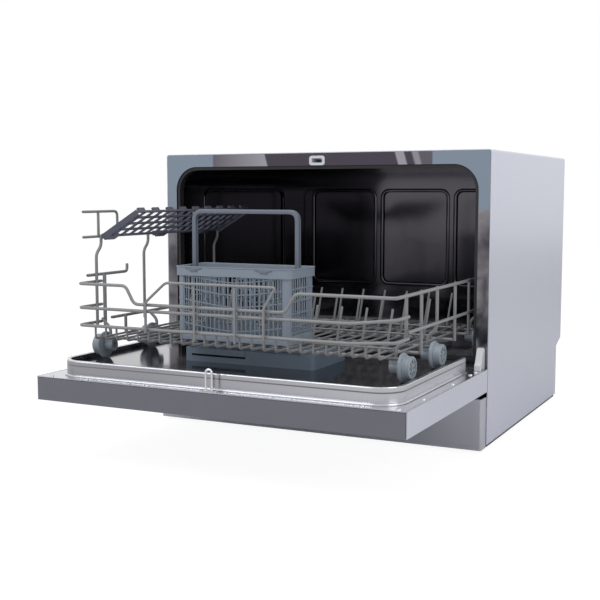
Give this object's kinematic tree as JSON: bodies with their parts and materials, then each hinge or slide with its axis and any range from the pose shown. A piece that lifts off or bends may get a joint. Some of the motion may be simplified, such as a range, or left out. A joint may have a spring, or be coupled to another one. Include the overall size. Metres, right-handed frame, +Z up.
{
  "type": "countertop dishwasher",
  "caption": "Countertop dishwasher with its door lowered and its wire rack drawn out, holding a cup shelf and a lift-out cutlery basket.",
  "frame": {"origin": "on the worktop, under the middle of the open machine's outline", "axes": "+X to the machine's right as seen from the front, +Y to its back, +Z up"},
  "size_m": [0.55, 0.808, 0.438],
  "materials": {
    "casing_paint": "satin silver-grey paint",
    "plinth_paint": "satin silver-grey paint",
    "dark_plastic": "moulded, dark grey",
    "foot_rubber": "matt black",
    "black_steel": "matt black",
    "tub_steel": "polished stainless steel",
    "seal_rubber": "matt black",
    "runner_steel": "stainless steel",
    "pale_plastic": "moulded, pale grey",
    "spring_steel": "bright wire",
    "zinc_steel": "zinc plated",
    "grey_plastic": "moulded, grey",
    "heater_steel": "darkened steel",
    "panel_plastic": "moulded, dark grey",
    "window_glass": "smoked black",
    "button_plastic": "silver grey",
    "blue_plastic": "moulded, grey-blue",
    "cap_plastic": "moulded, light grey-blue",
    "rack_coating": "grey nylon coating on steel wire",
    "wheel_plastic": "moulded, grey-blue",
    "shelf_plastic": "moulded, dark grey-blue",
    "basket_plastic": "moulded, grey-blue",
    "handle_plastic": "moulded, dark grey-blue"
  },
  "bodies": {
    "cabinet": {"outer_casing": "casing_paint", "rear_panel": "casing_paint", "base_tray": "dark_plastic", "plinth": "plinth_paint", "feet": "foot_rubber", "front_cross_member": "black_steel", "tub": "tub_steel", "door_seal": "seal_rubber", "rack_runner_left": "runner_steel", "rack_runner_right": "runner_steel", "lock_housing": "pale_plastic", "hinge_bracket_left": "zinc_steel", "hinge_bracket_right": "zinc_steel", "hinge_arm_left": "zinc_steel", "hinge_arm_right": "zinc_steel", "hinge_pins": "zinc_steel", "hinge_springs": "spring_steel", "hinge_covers": "pale_plastic", "sump": "dark_plastic", "filter_plate": "runner_steel", "spray_hub": "grey_plastic", "heater": "heater_steel", "wash_pump": "dark_plastic", "drain_pump": "dark_plastic", "inlet_valve": "pale_plastic", "inlet_hose": "pale_plastic", "drain_hose": "dark_plastic", "cord_gland": "seal_rubber", "door_outer_panel": "casing_paint", "control_panel": "panel_plastic", "display_window": "window_glass", "door_inner_pan": "tub_steel", "door_hook": "spring_steel", "dispenser_body": "blue_plastic", "door_screws": "zinc_steel"},
    "rack": {"rack_front_rails": "rack_coating", "rack_right_side": "rack_coating", "rack_left_side": "rack_coating", "rack_base": "rack_coating", "rack_tines": "rack_coating", "wheel_clips": "wheel_plastic"},
    "basket": {"cutlery_basket": "basket_plastic", "basket_handle": "handle_plastic"},
    "lock_catch": {"lock_catch": "spring_steel"},
    "filter_cup": {"filter_cup": "grey_plastic"},
    "softener_cap": {"softener_cap": "grey_plastic"},
    "spray_arm": {"spray_arm": "grey_plastic"},
    "button_power": {"button_power": "button_plastic"},
    "button_programme": {"button_programme": "button_plastic"},
    "button_delay": {"button_delay": "button_plastic"},
    "button_start": {"button_start": "button_plastic"},
    "dispenser_lid": {"dispenser_lid": "blue_plastic"},
    "rinse_cap": {"rinse_cap": "cap_plastic"},
    "cup_shelf": {"cup_shelf": "shelf_plastic"},
    "wheel_left_front": {"wheel_left_front": "wheel_plastic"},
    "wheel_left_middle": {"wheel_left_middle": "wheel_plastic"},
    "wheel_left_rear": {"wheel_left_rear": "wheel_plastic"},
    "wheel_right_front": {"wheel_right_front": "wheel_plastic"},
    "wheel_right_middle": {"wheel_right_middle": "wheel_plastic"},
    "wheel_right_rear": {"wheel_right_rear": "wheel_plastic"}
  },
  "joints": [
    {"name": "rack_slide", "type": "slide", "parent": "cabinet", "child": "rack", "axis": [0, -1, 0], "range_m": [-0.31, 0]},
    {"name": "wheel_left_front_spin", "type": "hinge", "parent": "rack", "child": "wheel_left_front", "pos_m": [-0.237, -0.303, 0.1555], "axis": [1, 0, 0], "continuous": true},
    {"name": "wheel_left_middle_spin", "type": "hinge", "parent": "rack", "child": "wheel_left_middle", "pos_m": [-0.237, -0.184, 0.1555], "axis": [1, 0, 0], "continuous": true},
    {"name": "wheel_left_rear_spin", "type": "hinge", "parent": "rack", "child": "wheel_left_rear", "pos_m": [-0.237, 0.014, 0.1555], "axis": [1, 0, 0], "continuous": true},
    {"name": "wheel_right_front_spin", "type": "hinge", "parent": "rack", "child": "wheel_right_front", "pos_m": [0.237, -0.303, 0.1555], "axis": [1, 0, 0], "continuous": true},
    {"name": "wheel_right_middle_spin", "type": "hinge", "parent": "rack", "child": "wheel_right_middle", "pos_m": [0.237, -0.184, 0.1555], "axis": [1, 0, 0], "continuous": true},
    {"name": "wheel_right_rear_spin", "type": "hinge", "parent": "rack", "child": "wheel_right_rear", "pos_m": [0.237, 0.014, 0.1555], "axis": [1, 0, 0], "continuous": true},
    {"name": "shelf_fold", "type": "hinge", "parent": "rack", "child": "cup_shelf", "pos_m": [-0.2397, -0.17, 0.313], "axis": [0, -1, 0], "range_deg": [0, 55]},
    {"name": "basket_lift", "type": "slide", "parent": "rack", "child": "basket", "axis": [0, 0, 1], "range_m": [0, 0.12]},
    {"name": "spray_spin", "type": "hinge", "parent": "cabinet", "child": "spray_arm", "pos_m": [0, 0.155, 0.15], "axis": [0, 0, 1], "continuous": true},
    {"name": "filter_turn", "type": "hinge", "parent": "cabinet", "child": "filter_cup", "pos_m": [-0.14, 0.07, 0.131], "axis": [0, 0, 1], "range_deg": [0, 45]},
    {"name": "softener_cap_turn", "type": "hinge", "parent": "cabinet", "child": "softener_cap", "pos_m": [0.14, 0.07, 0.131], "axis": [0, 0, 1], "continuous": true},
    {"name": "lid_slide", "type": "slide", "parent": "cabinet", "child": "dispenser_lid", "axis": [1, 0, 0], "range_m": [0, 0.084]},
    {"name": "rinse_cap_turn", "type": "hinge", "parent": "cabinet", "child": "rinse_cap", "pos_m": [0.066, -0.184, 0.15], "axis": [0, 0, 1], "range_deg": [0, 90]},
    {"name": "catch_lift", "type": "slide", "parent": "cabinet", "child": "lock_catch", "axis": [0, 0, 1], "range_m": [0, 0.003], "stiffness_N_per_m": 400, "springref_m": -0.001},
    {"name": "power_press", "type": "slide", "parent": "cabinet", "child": "button_power", "axis": [0, 0, 1], "range_m": [0, 0.0012], "stiffness_N_per_m": 300, "springref_m": -0.001},
    {"name": "programme_press", "type": "slide", "parent": "cabinet", "child": "button_programme", "axis": [0, 0, 1], "range_m": [0, 0.0012], "stiffness_N_per_m": 300, "springref_m": -0.001},
    {"name": "delay_press", "type": "slide", "parent": "cabinet", "child": "button_delay", "axis": [0, 0, 1], "range_m": [0, 0.0012], "stiffness_N_per_m": 300, "springref_m": -0.001},
    {"name": "start_press", "type": "slide", "parent": "cabinet", "child": "button_start", "axis": [0, 0, 1], "range_m": [0, 0.0012], "stiffness_N_per_m": 300, "springref_m": -0.001}
  ],
  "couplings": [
    {"joint": "wheel_left_front_spin", "follows": "rack_slide", "rad_per_m": 52.632},
    {"joint": "wheel_left_middle_spin", "follows": "rack_slide", "rad_per_m": 52.632},
    {"joint": "wheel_left_rear_spin", "follows": "rack_slide", "rad_per_m": 52.632},
    {"joint": "wheel_right_front_spin", "follows": "rack_slide", "rad_per_m": 52.632},
    {"joint": "wheel_right_middle_spin", "follows": "rack_slide", "rad_per_m": 52.632},
    {"joint": "wheel_right_rear_spin", "follows": "rack_slide", "rad_per_m": 52.632}
  ]
}
